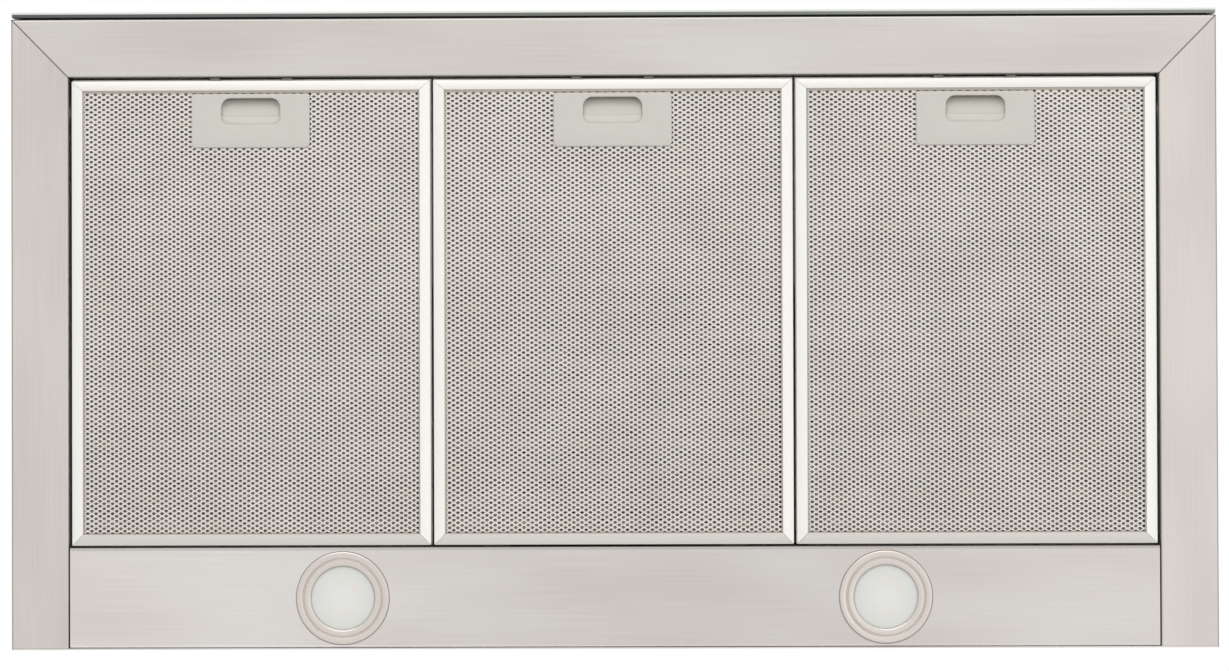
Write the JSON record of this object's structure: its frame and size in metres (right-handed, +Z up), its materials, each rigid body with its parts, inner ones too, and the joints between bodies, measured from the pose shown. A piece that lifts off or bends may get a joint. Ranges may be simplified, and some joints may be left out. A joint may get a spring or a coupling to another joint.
{
  "type": "range hood insert",
  "caption": "Low stainless canopy with swing-down grease filters and finger latches, a light panel with round lamps, a glass fascia and a ducted centrifugal blower box",
  "frame": {"origin": "centre of the four wall-screw holes in the rear face of the blower box, on the wall plane", "axes": "+X to the right along the hood as seen from the front, +Y to the wall, +Z up"},
  "size_m": [0.898, 0.4752, 0.3616],
  "materials": {
    "brushed_stainless": "brushed along each piece, satin",
    "galvanised_steel": "zinc coated, dull with faint spangle",
    "fascia_glass": "4 mm tempered glass, dark behind, polished edge",
    "foam_tape": "matte foam",
    "circuit_board": "solder mask",
    "satin_silver_trim": "satin",
    "frosted_lens": "frosted polycarbonate",
    "die_cast_aluminium": "as cast",
    "spring_steel": "bright rolled strip",
    "satin_aluminium": "satin anodised",
    "expanded_aluminium": "slit and stretched foil, bright",
    "grey_latch_plastic": "fine moulded grain",
    "dark_plastic": "moulded",
    "motor_enamel": "black enamel",
    "ground_steel": "ground",
    "white_plastic": "moulded",
    "grey_box_plastic": "moulded",
    "zinc_screws": "bright zinc"
  },
  "bodies": {
    "canopy": {"front_rail": "brushed_stainless", "side_rail_left": "brushed_stainless", "side_rail_right": "brushed_stainless", "rear_wall": "galvanised_steel", "top_plate": "galvanised_steel", "glass_fascia": "fascia_glass", "fascia_tape": "foam_tape", "touch_board": "circuit_board", "light_panel": "brushed_stainless", "lamp_bezels": "satin_silver_trim", "lamp_lenses": "frosted_lens", "lamp_cans": "die_cast_aluminium", "lamp_led_boards": "circuit_board", "lamp_clips": "spring_steel", "blower_box": "galvanised_steel", "scroll_right": "dark_plastic", "scroll_left": "dark_plastic", "motor": "motor_enamel", "motor_bracket": "galvanised_steel", "motor_capacitor": "white_plastic", "duct_collar": "dark_plastic", "damper_pin": "ground_steel", "control_box": "grey_box_plastic", "control_board": "circuit_board", "led_driver": "white_plastic", "mains_gland": "dark_plastic", "canopy_screws": "zinc_screws", "blower_screws": "zinc_screws"},
    "fan": {"impeller": "dark_plastic", "fan_shaft": "ground_steel"},
    "damper_front": {"damper_flap_front": "dark_plastic"},
    "damper_rear": {"damper_flap_rear": "dark_plastic"},
    "filter_left": {"filter_left_frame": "satin_aluminium", "filter_left_mesh_front": "expanded_aluminium", "filter_left_mesh_core": "expanded_aluminium", "filter_left_latch_plate": "grey_latch_plastic", "filter_left_latch_pan": "dark_plastic", "filter_left_latch_spring": "spring_steel"},
    "latch_left": {"filter_left_latch_slider": "grey_latch_plastic"},
    "filter_middle": {"filter_middle_frame": "satin_aluminium", "filter_middle_mesh_front": "expanded_aluminium", "filter_middle_mesh_core": "expanded_aluminium", "filter_middle_latch_plate": "grey_latch_plastic", "filter_middle_latch_pan": "dark_plastic", "filter_middle_latch_spring": "spring_steel"},
    "latch_middle": {"filter_middle_latch_slider": "grey_latch_plastic"},
    "filter_right": {"filter_right_frame": "satin_aluminium", "filter_right_mesh_front": "expanded_aluminium", "filter_right_mesh_core": "expanded_aluminium", "filter_right_latch_plate": "grey_latch_plastic", "filter_right_latch_pan": "dark_plastic", "filter_right_latch_spring": "spring_steel"},
    "latch_right": {"filter_right_latch_slider": "grey_latch_plastic"}
  },
  "joints": [
    {"name": "filter_left_swing", "type": "hinge", "parent": "canopy", "child": "filter_left", "pos_m": [-0.2699, -0.0774, -0.187], "axis": [1, 0, 0], "range_deg": [0, 75]},
    {"name": "filter_middle_swing", "type": "hinge", "parent": "canopy", "child": "filter_middle", "pos_m": [0, -0.0774, -0.187], "axis": [1, 0, 0], "range_deg": [0, 75]},
    {"name": "filter_right_swing", "type": "hinge", "parent": "canopy", "child": "filter_right", "pos_m": [0.2699, -0.0774, -0.187], "axis": [1, 0, 0], "range_deg": [0, 75]},
    {"name": "latch_left_slide", "type": "slide", "parent": "filter_left", "child": "latch_left", "axis": [0, 1, 0], "range_m": [0, 0.006], "stiffness_N_per_m": 500, "springref_m": -0.004, "deforming": ["filter_left_latch_spring"]},
    {"name": "latch_middle_slide", "type": "slide", "parent": "filter_middle", "child": "latch_middle", "axis": [0, 1, 0], "range_m": [0, 0.006], "stiffness_N_per_m": 500, "springref_m": -0.004, "deforming": ["filter_middle_latch_spring"]},
    {"name": "latch_right_slide", "type": "slide", "parent": "filter_right", "child": "latch_right", "axis": [0, 1, 0], "range_m": [0, 0.006], "stiffness_N_per_m": 500, "springref_m": -0.004, "deforming": ["filter_right_latch_spring"]},
    {"name": "fan_spin", "type": "hinge", "parent": "canopy", "child": "fan", "pos_m": [0, -0.126, 0.008], "axis": [1, 0, 0], "continuous": true},
    {"name": "damper_front_swing", "type": "hinge", "parent": "canopy", "child": "damper_front", "pos_m": [0, -0.1751, 0.139], "axis": [-1, 0, 0], "range_deg": [0, 75]},
    {"name": "damper_rear_swing", "type": "hinge", "parent": "canopy", "child": "damper_rear", "pos_m": [0, -0.1751, 0.139], "axis": [1, 0, 0], "range_deg": [0, 75]}
  ]
}
